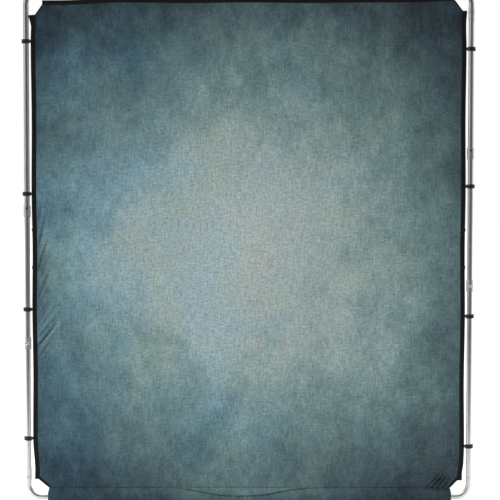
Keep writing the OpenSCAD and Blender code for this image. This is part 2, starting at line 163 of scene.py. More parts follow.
def sweep(path, across, out, profile, widen=None):
    """Sweeps a closed profile of (a, b) points along path; a lies along across, b along out."""
    n, m = len(path), len(profile)
    widen = widen or [1.0] * n
    verts = []
    for p, u, w, k in zip(path, across, out, widen):
        verts += [p + a * k * u + b * w for a, b in profile]
    faces = []
    for i in range(n - 1):
        for j in range(m):
            k = (j + 1) % m
            faces.append((i * m + j, i * m + k, (i + 1) * m + k, (i + 1) * m + j))
    faces.append(tuple(reversed(range(m))))
    faces.append(tuple((n - 1) * m + j for j in range(m)))
    return verts, faces


def tape_profile(w, t, rim=4):
    """A flat tape's cross-section with round edges, w wide and t thick."""
    r = t / 2
    points = []
    for side in (1, -1):
        for k in range(rim + 1):
            a = side * (math.pi / 2 - math.pi * k / rim)
            points.append((side * (w / 2 - r + r * math.cos(a)), r * math.sin(a)))
    return points


STITCH_L = 3.4 * MM
THREAD_R = 0.42 * MM
STITCH_RINGS = ((-0.5, 0.35), (-0.25, 1.0), (0.25, 1.0), (0.5, 0.35))


def stitch(at, along, up, length=STITCH_L):
    """One stitch of thread: a short spindle that dips into the cloth at both ends."""
    side = along.cross(up)
    verts = []
    for t, share in STITCH_RINGS:
        centre = at + along * (t * length) + up * (THREAD_R * (0.9 * share - 0.5))
        r = THREAD_R * share
        verts += [centre + side * r, centre + up * r, centre - side * r, centre - up * r]
    faces = []
    for i in range(len(STITCH_RINGS) - 1):
        for j in range(4):
            k = (j + 1) % 4
            faces.append((i * 4 + j, i * 4 + k, (i + 1) * 4 + k, (i + 1) * 4 + j))
    faces += [(3, 2, 1, 0), (12, 13, 14, 15)]
    return verts, faces


# ---- node trees ----
def node(tree, kind, inputs=None, **settings):
    """A new shader node, with a link or a value in each input that is named."""
    made = tree.nodes.new("ShaderNode" + kind)
    for key, value in settings.items():
        setattr(made, key, value)
    for key, value in (inputs or {}).items():
        if isinstance(value, bpy.types.NodeSocket):
            tree.links.new(value, made.inputs[key])
        else:
            made.inputs[key].default_value = value
    return made


def maths(tree, operation, a, b=0.0, c=0.0, clamp=False):
    return node(tree, "Math", {0: a, 1: b, 2: c}, operation=operation, use_clamp=clamp).outputs[0]


def new_material(name):
    material = bpy.data.materials.new(name)
    material.use_nodes = True
    tree = material.node_tree
    return material, tree, tree.nodes["Principled BSDF"]


def ramp(tree, value, stops):
    made = node(tree, "ValToRGB", {0: value})
    elements = made.color_ramp.elements
    for n, (at, colour) in enumerate(stops):
        element = elements[n] if n < 2 else elements.new(at)
        element.position = at
        element.color = colour
    return made.outputs[0]


def noise(tree, where, scale, detail=3.0, rough=0.5, stretch=(1, 1, 1), shift=(0, 0, 0)):
    mapped = node(tree, "Mapping", {"Vector": where, "Scale": stretch, "Location": shift}).outputs[0]
    inputs = {"Vector": mapped, "Scale": scale, "Detail": detail, "Roughness": rough}
    return node(tree, "TexNoise", inputs).outputs[0]


def vector(tree, operation, a, b, output=0):
    """Vector maths, with output 0 for a vector and "Value" for a number."""
    return node(tree, "VectorMath", {0: a, 1: b}, operation=operation).outputs[output]


def mix_colour(tree, factor, a, b, blend="MIX"):
    made = node(tree, "Mix", data_type="RGBA", blend_type=blend)
    for socket, value in ((made.inputs[0], factor), (made.inputs[6], a), (made.inputs[7], b)):
        if isinstance(value, bpy.types.NodeSocket):
            tree.links.new(value, socket)
        else:
            socket.default_value = value
    return made.outputs[2]


def times(tree, colour, value):
    """A colour made lighter or darker by a value."""
    if not isinstance(colour, bpy.types.NodeSocket):
        colour = colour[:3]
    return node(tree, "VectorMath", {0: colour, "Scale": value}, operation="SCALE").outputs[0]


def toned(tree, colour, tint, share):
    """A colour multiplied by a tint where share is 1, and left alone where it is 0."""
    return mix_colour(tree, share, colour, mix_colour(tree, 1.0, colour, (*tint, 1), "MULTIPLY"))


def bump(tree, height, distance, strength=1.0, normal=None):
    inputs = {"Height": height, "Distance": distance, "Strength": strength}
    if normal is not None:
        inputs["Normal"] = normal
    return node(tree, "Bump", inputs).outputs[0]


def wire(tree, shader, colour, rough, normal=None, **values):
    """Links a material's colour, roughness and normal, and sets the shader's plain values."""
    tree.links.new(colour, shader.inputs["Base Color"])
    tree.links.new(rough, shader.inputs["Roughness"])
    if normal is not None:
        tree.links.new(normal, shader.inputs["Normal"])
    for name, value in values.items():
        shader.inputs[name.replace("_", " ")].default_value = value


def weave_height(tree, where, pitch):
    """Plain weave: two crossed rows of threads, over and under each other."""
    split = node(tree, "SeparateXYZ", {0: where})
    turn = 2 * math.pi / pitch
    a = maths(tree, "SINE", maths(tree, "MULTIPLY", split.outputs[0], turn))
    b = maths(tree, "SINE", maths(tree, "MULTIPLY", split.outputs[1], turn))
    return maths(tree, "MULTIPLY", a, b)


# ---- printed cloth ----
PRINT_CENTRE = (-0.06, -1.12, 0)
PRINT_TILT = (-0.03, 0.03, 0)       # a little darker towards the top left
PRINT_WEAVE = 2.4 * MM
PRINT_TONES = [
    (0.00, srgb(163, 176, 173)),
    (0.22, srgb(152, 168, 166)),
    (0.30, srgb(143, 161, 159)),
    (0.38, srgb(126, 148, 148)),
    (0.47, srgb(106, 131, 132)),
    (0.56, srgb(90, 113, 115)),
    (0.66, srgb(72, 93, 97)),
    (0.78, srgb(52, 68, 74)),
    (0.92, srgb(33, 42, 49)),
]
BLUE_WASH, MAUVE_BLOOM, OLIVE_BLOOM = (0.82, 0.985, 1.16), (1.10, 0.97, 0.98), (1.05, 1.03, 0.90)


def print_level(tree, uv):
    """How dark the print is at a point: 0 in its pale middle, rising to 1 outwards through the mottling."""
    warp = node(tree, "TexNoise", {"Vector": uv, "Scale": 2.2, "Detail": 3.0}).outputs["Color"]
    warp = vector(tree, "SUBTRACT", warp, (0.5, 0.5, 0.5))
    warp = node(tree, "VectorMath", {0: warp, "Scale": 0.22}, operation="SCALE").outputs[0]
    centred = vector(tree, "SUBTRACT", vector(tree, "ADD", uv, warp), PRINT_CENTRE)
    level = node(tree, "VectorMath", {0: centred}, operation="LENGTH").outputs["Value"]
    clouds = noise(tree, uv, 2.1, 5.0, 0.55, shift=(3, 1, 0))
    patches = noise(tree, uv, 7.0, 4.0, 0.6, stretch=(1.25, 0.8, 1), shift=(7, 2, 0))
    blots = noise(tree, uv, 24.0, 4.0, 0.62, stretch=(1.3, 0.8, 1), shift=(1, 9, 0))
    for mottle, weight in ((clouds, 0.62), (patches, 0.50), (blots, 0.32)):
        level = maths(tree, "MULTIPLY_ADD", mottle, weight, level)
    level = maths(tree, "DIVIDE", maths(tree, "SUBTRACT", level, 0.74), 1.6)
    return maths(tree, "ADD", level, vector(tree, "DOT_PRODUCT", centred, PRINT_TILT, "Value"))


def print_colour(tree, uv):
    """The print's tones, with blue washes, most of them on the left, and mauve and olive blooms."""
    colour = ramp(tree, print_level(tree, uv), PRINT_TONES)
    split = node(tree, "SeparateXYZ", {0: uv})
    leftness = maths(tree, "MULTIPLY_ADD", split.outputs[0], -0.75, 0.02)
    wash = maths(tree, "MULTIPLY_ADD", noise(tree, uv, 2.8, 4.0, 0.6, shift=(11, 5, 0)), 3.2, -1.55)
    colour = toned(tree, colour, BLUE_WASH, maths(tree, "ADD", wash, leftness, clamp=True))
    bloom = noise(tree, uv, 3.6, 4.0, 0.6, shift=(2, 17, 0))
    colour = toned(tree, colour, MAUVE_BLOOM, maths(tree, "MULTIPLY_ADD", bloom, 5.0, -2.75, clamp=True))
    olive = noise(tree, uv, 3.1, 4.0, 0.6, shift=(19, 3, 0))
    return toned(tree, colour, OLIVE_BLOOM, maths(tree, "MULTIPLY_ADD", olive, 5.0, -2.65, clamp=True))


def printed_cloth(name, fade=0.0):
    """Painterly mottled print on canvas: pale in the middle, slate at the edges. fade washes the dye out."""
    material, tree, shader = new_material(name)
    uv = node(tree, "UVMap", uv_map="cloth").outputs[0]
    # brushed vertical streaks, dry flecks and the canvas grain of the print
    streaks = noise(tree, uv, 1.0, 3.0, 0.6, stretch=(190, 17, 1))
    hatch = noise(tree, uv, 1.0, 2.0, 0.6, stretch=(34, 120, 1))
    fleck = noise(tree, uv, 95.0, 3.0, 0.7)
    weave = weave_height(tree, uv, PRINT_WEAVE)
    tone = maths(tree, "MULTIPLY_ADD", streaks, 0.95, -0.42)
    for grain, weight in ((hatch, 0.60), (fleck, 1.30), (weave, 0.045)):
        tone = maths(tree, "MULTIPLY_ADD", grain, weight, tone)
    colour = times(tree, print_colour(tree, uv), tone)
    if fade:
        colour = mix_colour(tree, fade, colour, srgb(176, 184, 184))
    rough = maths(tree, "MULTIPLY_ADD", streaks, 0.12, 0.80)
    soft = noise(tree, uv, 14.0, 3.0, 0.5, stretch=(1, 0.7, 1))
    height = maths(tree, "MULTIPLY_ADD", fleck, 0.5, weave)
    normal = bump(tree, height, 0.10 * MM, 0.8, bump(tree, soft, 2.2 * MM, 0.5))
    wire(tree, shader, colour, rough, normal, Specular_IOR_Level=0.2, Sheen_Weight=0.03)
    return material


def woven_black(name, colour, pitch, dull, sheen):
    """Black tape or webbing: ribbed weave, with faded high threads and lint."""
    material, tree, shader = new_material(name)
    uv = node(tree, "UVMap", uv_map="cloth").outputs[0]
    ribs = weave_height(tree, uv, pitch)
    lint = noise(tree, uv, 220.0, 3.0, 0.6)
    worn = noise(tree, uv, 18.0, 4.0, 0.6)
    tone = maths(tree, "MULTIPLY_ADD", ribs, 0.22, 0.55)
    tone = maths(tree, "MULTIPLY_ADD", lint, 0.6, tone)
    tone = maths(tree, "MULTIPLY_ADD", worn, 0.5, tone)
    rough = maths(tree, "MULTIPLY_ADD", worn, 0.2, dull)
    normal = bump(tree, maths(tree, "ADD", ribs, lint), 0.16 * MM, 0.9)
    wire(tree, shader, times(tree, colour, tone), rough, normal, Specular_IOR_Level=0.25, Sheen_Weight=sheen)
    return material


def tube_metal(name):
    """Bright drawn aluminium: fine lines along the tube, faint handling marks and a soft anodised bloom."""
    material, tree, shader = new_material(name)
    where = node(tree, "TexCoord").outputs["Object"]
    along_z = noise(tree, where, 1.0, 3.0, 0.6, stretch=(420, 420, 5))
    along_x = noise(tree, where, 1.0, 3.0, 0.6, stretch=(5, 420, 420))
    bloom = noise(tree, where, 9.0, 4.0, 0.6)
    marks = noise(tree, where, 160.0, 4.0, 0.7, stretch=(1, 1, 0.3))
    marks = maths(tree, "MULTIPLY_ADD", marks, 6.0, -3.9, clamp=True)
    lines = maths(tree, "MULTIPLY", along_z, along_x)
    tint = ramp(tree, maths(tree, "MULTIPLY_ADD", lines, 1.3, maths(tree, "MULTIPLY", bloom, 0.5)), [
        (0.25, srgb(190, 190, 190)),
        (0.85, srgb(216, 215, 213)),
    ])
    tint = mix_colour(tree, marks, tint, srgb(150, 150, 150))
    rough = maths(tree, "MULTIPLY_ADD", lines, 0.22, 0.13)
    rough = maths(tree, "MULTIPLY_ADD", marks, 0.22, rough)
    rough = maths(tree, "MULTIPLY_ADD", bloom, 0.10, rough)
    wire(tree, shader, tint, rough, bump(tree, lines, 0.02 * MM, 0.12), Metallic=1.0)
    return material


def cast_metal(name, light, dark, rough_base):
    """Satin cast or turned metal: fine grain, darker in the pores, rubbed brighter in patches."""
    material, tree, shader = new_material(name)
    where = node(tree, "TexCoord").outputs["Object"]
    grain = noise(tree, where, 700.0, 3.0, 0.6)
    cloud = noise(tree, where, 45.0, 4.0, 0.6)
    pores = maths(tree, "MULTIPLY_ADD", noise(tree, where, 330.0, 2.0, 0.5), 7.0, -4.3, clamp=True)
    tint = ramp(tree, maths(tree, "MULTIPLY_ADD", grain, 0.5, maths(tree, "MULTIPLY", cloud, 0.5)),
                [(0.30, dark), (0.70, light)])
    tint = mix_colour(tree, pores, tint, dark)
    rough = maths(tree, "MULTIPLY_ADD", grain, 0.18, rough_base)
    rough = maths(tree, "MULTIPLY_ADD", cloud, 0.14, rough)
    normal = bump(tree, maths(tree, "SUBTRACT", grain, pores), 0.06 * MM, 0.5)
    wire(tree, shader, tint, rough, normal, Metallic=1.0)
    return material


def moulded_plastic(name):
    """Matt black nylon: sparked texture, faint flow marks and rubbed patches."""
    material, tree, shader = new_material(name)
    where = node(tree, "TexCoord").outputs["Object"]
    spark = noise(tree, where, 1400.0, 2.0, 0.5)
    flow = noise(tree, where, 60.0, 4.0, 0.6, stretch=(1, 1, 2.5))
    tint = ramp(tree, flow, [(0.35, srgb(14, 14, 15)), (0.70, srgb(24, 24, 26))])
    rough = maths(tree, "MULTIPLY_ADD", spark, 0.2, maths(tree, "MULTIPLY_ADD", flow, 0.25, 0.32))
    wire(tree, shader, tint, rough, bump(tree, spark, 0.04 * MM, 0.6), Specular_IOR_Level=0.35)
    return material


def thread(name, colour):
    """Twisted sewing thread."""
    material, tree, shader = new_material(name)
    where = node(tree, "TexCoord").outputs["Object"]
    twist = noise(tree, where, 1500.0, 2.0, 0.5)
    tone = maths(tree, "MULTIPLY_ADD", twist, 1.0, 0.5)
    wire(tree, shader, times(tree, colour, tone), maths(tree, "MULTIPLY_ADD", twist, 0.3, 0.5))
    return material


def floor_material():
    """Pale and a little mottled, and darker in front, where only the tubes reflect it."""
    material, tree, shader = new_material("pale_floor")
    where = node(tree, "TexCoord").outputs["Object"]
    mottle = noise(tree, where, 1.4, 4.0, 0.5)
    pale = ramp(tree, mottle, [(0.3, srgb(250, 250, 249)), (0.7, srgb(253, 253, 252))])
    split = node(tree, "SeparateXYZ", {0: where})
    front = maths(tree, "MULTIPLY_ADD", split.outputs[1], -0.45, -0.2, clamp=True)
    tree.links.new(mix_colour(tree, front, pale, srgb(84, 84, 85)), shader.inputs["Base Color"])
    shader.inputs["Roughness"].default_value = 0.85
    return material


CLOTH_FRONT = printed_cloth("printed_cloth")
CLOTH_BACK = printed_cloth("printed_cloth_reverse", fade=0.45)
BINDING = woven_black("black_binding", srgb(13, 13, 15), 1.3 * MM, 0.68, 0.01)
WEBBING = woven_black("black_webbing", srgb(17, 17, 19), 1.6 * MM, 0.55, 0.01)
TAPE = woven_black("hook_loop_tape", srgb(18, 18, 20), 1.0 * MM, 0.85, 0.10)
TUBE = tube_metal("tube_aluminium")
CAST = cast_metal("cast_aluminium", srgb(226, 226, 224), srgb(176, 177, 178), 0.20)
STEEL = cast_metal("steel", srgb(205, 206, 208), srgb(140, 142, 146), 0.16)
PLASTIC = moulded_plastic("black_plastic")
BLACK_THREAD = thread("black_thread", srgb(34, 34, 37))
TEAL_THREAD = thread("teal_thread", srgb(58, 78, 86))

BY_SLOT = {
    "tube_aluminium": TUBE,
    "cast_aluminium": CAST,
    "steel": STEEL,
    "black_plastic": PLASTIC,
    "black_webbing": WEBBING,
    "black_binding": BINDING,
    "printed_cloth": CLOTH_FRONT,
    "hook_loop_tape": TAPE,
}

# ---- materials on the CAD nodes ----
for part in frame["record"]["subparts"]:
    cad = frame["nodes"][part["node"]]
    if not cad.material_slots:
        cad.data.materials.append(None)
    for held in cad.material_slots:
        held.material = BY_SLOT[part["material_slot"]]


# ---- the cover's edges ----
def between(values, stops, ends):
    """0 at each clip and at the ends, rising to 1 half way between them."""
    stops = sorted([ends[0], *stops, ends[1]])
    values = np.asarray(values, float)
    where = np.clip(np.searchsorted(stops, values) - 1, 0, len(stops) - 2)
    low, high = np.take(stops, where), np.take(stops, where + 1)
    return np.sin(math.pi * np.clip((values - low) / (high - low), 0, 1)) ** 2


PULL_BETWEEN_CLIPS = 2.5 * MM
PULL_AT_SEAM = {-1: 7 * MM, 1: 11 * MM}
PULL_SEAM_REACH = {-1: 0.17, 1: 0.085}
FLARE_AT_TOP = {-1: 10 * MM, 1: 2 * MM}
FLARE_AT_END = {-1: 1 * MM, 1: 3 * MM}
FLARE_REACH = 0.055
EDGE_WAVE = 1.1 * MM
WAVE_REACH = 0.1
TOP_SAG = 3 * MM
TOP_SAG_REACH = 0.5
TOP_CORNER_DROP = {-1: 11 * MM, 1: -8 * MM}


def edge_out(side, z):
    """How far out the outer edge of a side binding lies at height z."""
    z = np.asarray(z, float)
    x = OUT_X - PULL_BETWEEN_CLIPS * between(z, SIDE_CLIPS[side], (SEAM_Z, PANEL_HIGH.z))
    return x - PULL_AT_SEAM[side] * smooth(1 - (z - SIDE_END[side]) / PULL_SEAM_REACH[side])


def border_flare(side, z):
    """How much wider a side binding is near its folded ends."""
    return (FLARE_AT_TOP[side] * float(smooth(1 - (SIDE_TOP[side] - z) / FLARE_REACH))
            + FLARE_AT_END[side] * float(smooth(1 - (z - SIDE_END[side]) / FLARE_REACH)))


def edge_wave(x, z):
    """How far a bound edge waves to the front or the back."""
    return EDGE_WAVE * (np.sin(5.3 * z + 2.1 * x) + 0.6 * np.sin(13.1 * z + 7.7 * x + 1.3))


def still_at_seam(z):
    """Lets the waves die out down to the seam, where the cover joins the flap."""
    return smooth((z - SEAM_Z) / WAVE_REACH)


def top_drop(x, z=None):
    """How far the cloth hangs below its straight line: at the top edge, or at height z below it."""
    x = np.asarray(x, float)
    depth = 0 if z is None else PANEL_HIGH.z - z
    sag = TOP_SAG * between(x, TOP_CLIPS, (-INNER_X, INNER_X))
    past = np.clip((np.abs(x) - TOP_CLIPS[2]) / (INNER_X - TOP_CLIPS[2]), 0, 1)
    corner = np.where(x < 0, TOP_CORNER_DROP[-1], TOP_CORNER_DROP[1]) * smooth(past)
    corner_reach = PANEL_HIGH.z - SIDE_TOP[1]
    return sag * smooth(1 - depth / TOP_SAG_REACH) + corner * smooth(1 - depth / corner_reach)


def cut_x(side, z):
    """Half-width of the printed cloth at height z, with its corners cut off."""
    inner_top = edge_out(side, SIDE_TOP[side]) - BINDING_W
    inner_end = edge_out(side, SIDE_END[side]) - BINDING_W
    if z > TOP_CUT_Z[side]:
        return INNER_X - TOP_CUT[side]
    if z > SIDE_TOP[side]:
        t = (TOP_CUT_Z[side] - z) / (TOP_CUT_Z[side] - SIDE_TOP[side])
        return (INNER_X - TOP_CUT[side]) * (1 - t) + inner_top * t
    if z < SIDE_END[side]:
        t = (SIDE_END[side] - z) / (SIDE_END[side] - SEAM_Z)
        return inner_end * (1 - t) + (INNER_X - SEAM_CUT[side]) * t
    return float(edge_out(side, z)) - BINDING_W


# ---- folds and wrinkles ----
FOLD_LIMIT = 12 * MM
BOUND_REACH = 11 * MM       # over which folds die out beside a bound edge
BILLOW, BILLOW_REACH = 4.0 * MM, 0.22
RIPPLE, RIPPLE_REACH = 0.9 * MM, 0.05
SIDE_FOLDS, TOP_FOLDS = 4, 3
FOLD_LEAN = math.radians(62)
FAN = 0.7       # how far the folds at the top clips and the seam lean, in radians
PLEATS = 7
PLEAT_PITCH = 12.5 * MM
PLEATS_FROM = 0.150
PLEAT_W = 4.4 * MM
GROOVE, RIDGE = -5.2 * MM, 4.6 * MM
PUCKERS = 46
PUCKER_FROM, PUCKER_SPAN = -0.86, 1.68


class Fold:
    """A straight or bowed fold that starts at a point and dies away at its far end."""

    def __init__(self, start, angle, length, width, height, bow=0.0):
        self.start = np.array(start, float)
        self.along = np.array([math.cos(angle), math.sin(angle)])
        self.length, self.width, self.height, self.bow = length, width, height, bow

    def rise(self, x, z):
        dx, dz = x - self.start[0], z - self.start[1]
        t = (dx * self.along[0] + dz * self.along[1]) / self.length
        off = -dx * self.along[1] + dz * self.along[0] - self.bow * 4 * t * (1 - t)
        fade = smooth((1 - t) / 0.6) * smooth((t + 0.15) / 0.2)
        s = off / (self.width * (0.55 + 0.6 * np.clip(t, 0, 1)))
        return self.height * fade * (1 - 0.9 * s * s) * np.exp(-0.5 * s * s)


def clip_folds():
    """Short tension folds that fan in from each clip."""
    folds = []
    for side in (-1, 1):
        for z in SIDE_CLIPS[side]:
            for _ in range(SIDE_FOLDS):
                lean = random.uniform(-FOLD_LEAN, FOLD_LEAN)
                angle = math.pi - lean if side > 0 else lean
                folds.append(Fold(
                    (side * INNER_X, z + random.uniform(-18, 18) * MM), angle,
                    random.uniform(0.08, 0.2), random.uniform(7, 12) * MM, random.uniform(-1.5, 1.5) * MM))
    for x in TOP_CLIPS:
        for _ in range(TOP_FOLDS):
            folds.append(Fold((x, PANEL_HIGH.z), -math.pi / 2 + random.uniform(-FAN, FAN),
                              random.uniform(0.08, 0.2), random.uniform(8, 13) * MM,
                              random.uniform(-1.2, 1.2) * MM))
    return folds


def slack_folds():
    """The deeper diagonal folds where the left edge is slack."""
    folds = []
    for up, angle, length, width, height in (
            (0.632, 51, 0.20, 9.5, -9.5), (0.682, 50, 0.19, 8.5, 7.5), (0.590, 56, 0.14, 8.0, 5.5),
            (0.735, 54, 0.14, 7.0, -4.5), (0.770, 58, 0.13, 7.0, 4.0), (0.840, 62, 0.15, 7.0, -4.5),
            (0.880, 62, 0.15, 7.0, 4.0), (0.960, 68, 0.16, 6.5, -5.0), (1.000, 70, 0.17, 6.5, 4.5),
            (1.060, 72, 0.18, 6.0, -5.0), (1.110, 73, 0.16, 6.0, 4.0), (1.170, 74, 0.14, 6.0, -3.5),
            (0.450, 48, 0.12, 8.0, -2.8)):
        start = (-INNER_X, SEAM_Z + up)
        folds.append(Fold(start, math.radians(angle), length, width * MM, height * MM))
    return folds


def seam_folds():
    """The crease, the gathered pleats in the bottom right corner, and small puckers all along the seam."""
    folds = [Fold((0.38, SEAM_Z + 4 * MM), math.radians(112), 0.10, 5 * MM, -3.4 * MM, 5 * MM)]
    for k in range(PLEATS):
        start = (INNER_X - (PLEATS_FROM - PLEAT_PITCH * k), SEAM_Z - 2 * MM)
        height = GROOVE if k % 2 == 0 else RIDGE
        folds.append(Fold(start, math.radians(45 + 1.4 * k), 0.115 - 0.006 * k, PLEAT_W, height))
    for k in range(PUCKERS):
        x = PUCKER_FROM + PUCKER_SPAN * (k + random.uniform(0.1, 0.9)) / PUCKERS
        folds.append(Fold((x, SEAM_Z), math.pi / 2 + random.uniform(-FAN, FAN), random.uniform(0.02, 0.075),
                          random.uniform(4, 8) * MM, random.uniform(-1.2, 1.2) * MM))
    return folds


FOLDS = clip_folds() + slack_folds() + seam_folds()


def waves(x, z, seed, count, longest, shortest, height):
    """Smooth random waves across the cloth."""
    draw = random.Random(seed)
    total = np.zeros_like(x)
    for _ in range(count):
        wave = longest * (shortest / longest) ** draw.random()
        angle = draw.uniform(0, math.pi)
        phase = draw.uniform(0, 2 * math.pi)
        turn = 2 * math.pi / wave
        total += (wave / longest) * np.sin(turn * (x * math.cos(angle) + z * math.sin(angle)) + phase)
    return height * total / math.sqrt(count)


def cover_rise(x, z):
    """How far the cloth stands out to the front of its flat plane, in metres."""
    beside = np.where(x < 0, edge_out(-1, z), edge_out(1, z)) - BINDING_W - np.abs(x)
    bound = np.minimum(beside, PANEL_HIGH.z - z)
    edge = np.minimum(bound, z - SEAM_Z)
    rise = smooth(edge / BILLOW_REACH) * waves(x, z, 5, 14, 1.3, 0.35, BILLOW)
    rise += smooth(edge / RIPPLE_REACH) * waves(x, z, 8, 24, 0.30, 0.09, RIPPLE)
    for fold in FOLDS:
        reach = fold.length * 1.3
        near = (np.abs(x - fold.start[0]) < reach) & (np.abs(z - fold.start[1]) < reach)
        rise[near] += fold.rise(x[near], z[near])
    rise = np.clip(rise, -FOLD_LIMIT, FOLD_LIMIT) * smooth(bound / BOUND_REACH)
    return rise + edge_wave(x, z) * still_at_seam(z)


def rise_at(x, z):
    return float(cover_rise(np.array([x]), np.array([z]))[0])


# ---- thin sheets ----
def sheet_faces(n, m, turned=False):
    """Faces of a thin closed sheet on an n by m grid: its front, its back and the rim between them."""
    count = n * m
    faces, slots = [], []
    for i in range(n - 1):
        for j in range(m - 1):
            a = i * m + j
            faces.append((a, a + m, a + m + 1, a + 1))
            slots.append(0)
            faces.append((count + a, count + a + 1, count + a + m + 1, count + a + m))
            slots.append(1)
    rim = list(range(m)) + [i * m + m - 1 for i in range(1, n)]
    rim += [(n - 1) * m + j for j in range(m - 2, -1, -1)] + [i * m for i in range(n - 2, 0, -1)]
    for a, b in zip(rim, rim[1:] + rim[:1]):
        faces.append((a, b, count + b, count + a))
        slots.append(0)
    if turned:
        faces = [(face[0], *reversed(face[1:])) for face in faces]
    return faces, slots


# ---- the printed cover ----
EDGE_STEP, MIDDLE_STEP, ROW_STEP = 3.6 * MM, 8.5 * MM, 6.5 * MM
EDGE_REACH = 0.15
HEM_ROLL, HEM_ROLL_REACH = 1.6 * MM, 7 * MM


def cover_rows():
    """Heights of the grid's rows, with one on every height where the outline turns."""
    marks = sorted({PANEL_HIGH.z, SEAM_Z, SEAM_Z + EDGE_REACH, *TOP_CUT_Z.values(), *SIDE_TOP.values(),
                    *SIDE_END.values()}, reverse=True)
    rows = []
    for a, b in zip(marks, marks[1:]):
        step = EDGE_STEP if a <= SEAM_Z + EDGE_REACH else ROW_STEP
        count = max(1, round((a - b) / step))
        rows += [a + (b - a) * k / count for k in range(count)]
    return rows + [SEAM_Z]


def column_shares():
    """Where the grid's columns lie across the cloth, from 0 to 1: close together near both edges."""
    total = 2 * INNER_X
    edge = np.linspace(0, EDGE_REACH / total, round(EDGE_REACH / EDGE_STEP) + 1)
    centre = np.linspace(edge[-1], 1 - edge[-1], round((total - 2 * EDGE_REACH) / MIDDLE_STEP) + 1)
    return np.concatenate([edge[:-1], centre, (1 - edge[:-1])[::-1]])


def cloth_x(side, z):
    """Half-width of the cloth with the part that is sewn in under the binding."""
    return cut_x(side, z) + (CLOTH_LAP if SIDE_END[side] < z < SIDE_TOP[side] else CUT_LAP)


def hem_roll(up):
    """How far the cloth rolls forward at a height above the seam."""
    return HEM_ROLL * np.exp(-((up / HEM_ROLL_REACH) ** 2))


def fabric_panel():
    rows = [PANEL_HIGH.z + CLOTH_LAP, *cover_rows()]
    across = column_shares()
    x = np.array([-cloth_x(-1, z) + (cloth_x(1, z) + cloth_x(-1, z)) * across for z in rows])
    z = np.repeat(np.array(rows)[:, None], len(across), axis=1)
    uv = np.stack([x, z], -1).reshape(-1, 2)
    y = -cover_rise(x, z) - hem_roll(z - SEAM_Z)
    hung = z - top_drop(x, z)
    front = np.stack([x, y - CLOTH_T / 2, hung], -1).reshape(-1, 3)
    back = np.stack([x, y + CLOTH_T / 2, hung], -1).reshape(-1, 3)
    faces, slots = sheet_faces(*x.shape)
    piece = mesh_object("fabric_panel_cloth", np.vstack([front, back]), faces, "top_unit",
                        [CLOTH_FRONT, CLOTH_BACK], np.vstack([uv, uv]), slots)
    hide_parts("fabric_panel")
    return piece


# ---- bindings ----
EDGE_STITCH = 5.2 * MM
BORDER_PITCH = 9 * MM
BORDER_ROWS = (-BINDING_W * 0.36, BINDING_W * 0.36)
TOP_BORDER_STEPS = 190
TOP_BORDER_IN = 0.5 * MM
RIM_W = 5.5 * MM
RIM_T = 2.2 * MM
RIM_PAST = 0.5 * MM
LOW_RIM_W = 9.5 * MM
LOW_RIM_IN = 2.5 * MM
LOW_RIM_UP = {-1: 6 * MM, 1: 9 * MM}
LOW_RIM_WIDEN = (1.45, 0.9)
LOW_RIM_PROUD = 0.8 * MM
HAIR = 0.01 * MM
FRONT, BACKWARD = Vector((0, -1, 0)), Vector((0, 1, 0))
LEFTWARD, RIGHTWARD, UPWARD = Vector((-1, 0, 0)), Vector((1, 0, 0)), Vector((0, 0, 1))


def across_path(points):
    """Directions across a path that lies in the XZ plane."""
    across = []
    for n in range(len(points)):
        ahead = points[min(n + 1, len(points) - 1)] - points[max(n - 1, 0)]
        across.append(FRONT.cross(ahead.normalized()).normalized())
    return across


def tape_along(parts, points, w, t, rows, widen=None):
    """A flat tape on a path, with rows of stitches at the given offsets from its middle, on both faces."""
    across = across_path(points)
    profile = tape_profile(w, t)
    verts, faces = sweep(points, across, [FRONT] * len(points), profile, widen)
    run, uvs = 0.0, []
    for n, p in enumerate(points):
        run += (p - points[n - 1]).length if n else 0.0
        uvs += [(a + (2 * b if b < 0 else 0), run) for a, b in profile]
    parts.add(verts, faces, 0, uvs)
    for row in rows:
        distance, wait = 0.0, EDGE_STITCH / 2
        for n in range(1, len(points)):
            step = points[n] - points[n - 1]
            while distance + step.length > wait:
                at = points[n - 1] + step * ((wait - distance) / step.length) + across[n] * row
                for up in (FRONT, BACKWARD):
                    parts.add(*stitch(at + up * (t / 2), step.normalized(), up), 1)
                wait += EDGE_STITCH
            distance += step.length


def border_path(side):
    """The middle line of a side binding, and how much wider it is at each point."""
    top, end = SIDE_TOP[side], SIDE_END[side]
    count = round((top - end) / BORDER_PITCH)
    points, widen = [], []
    for k in range(count + 1):
        z = top + (end - top) * k / count
        flare = border_flare(side, z)
        x = side * (float(edge_out(side, z)) - (BINDING_W - flare) / 2)
        points.append(Vector((x, -float(edge_wave(x, z) * still_at_seam(z)), z)))
        widen.append(1 + flare / BINDING_W)
    return points, widen


def rim_path(a, b, count=8):
    """A straight path along a cut edge of the cloth, from (x, z) to (x, z)."""
    points = []
    for k in range(count + 1):
        x, z = a[0] + (b[0] - a[0]) * k / count, a[1] + (b[1] - a[1]) * k / count
        points.append(Vector((x, -rise_at(x, z), z)))
    return points


def dropped(x, z):
    return z - float(top_drop(x, z))


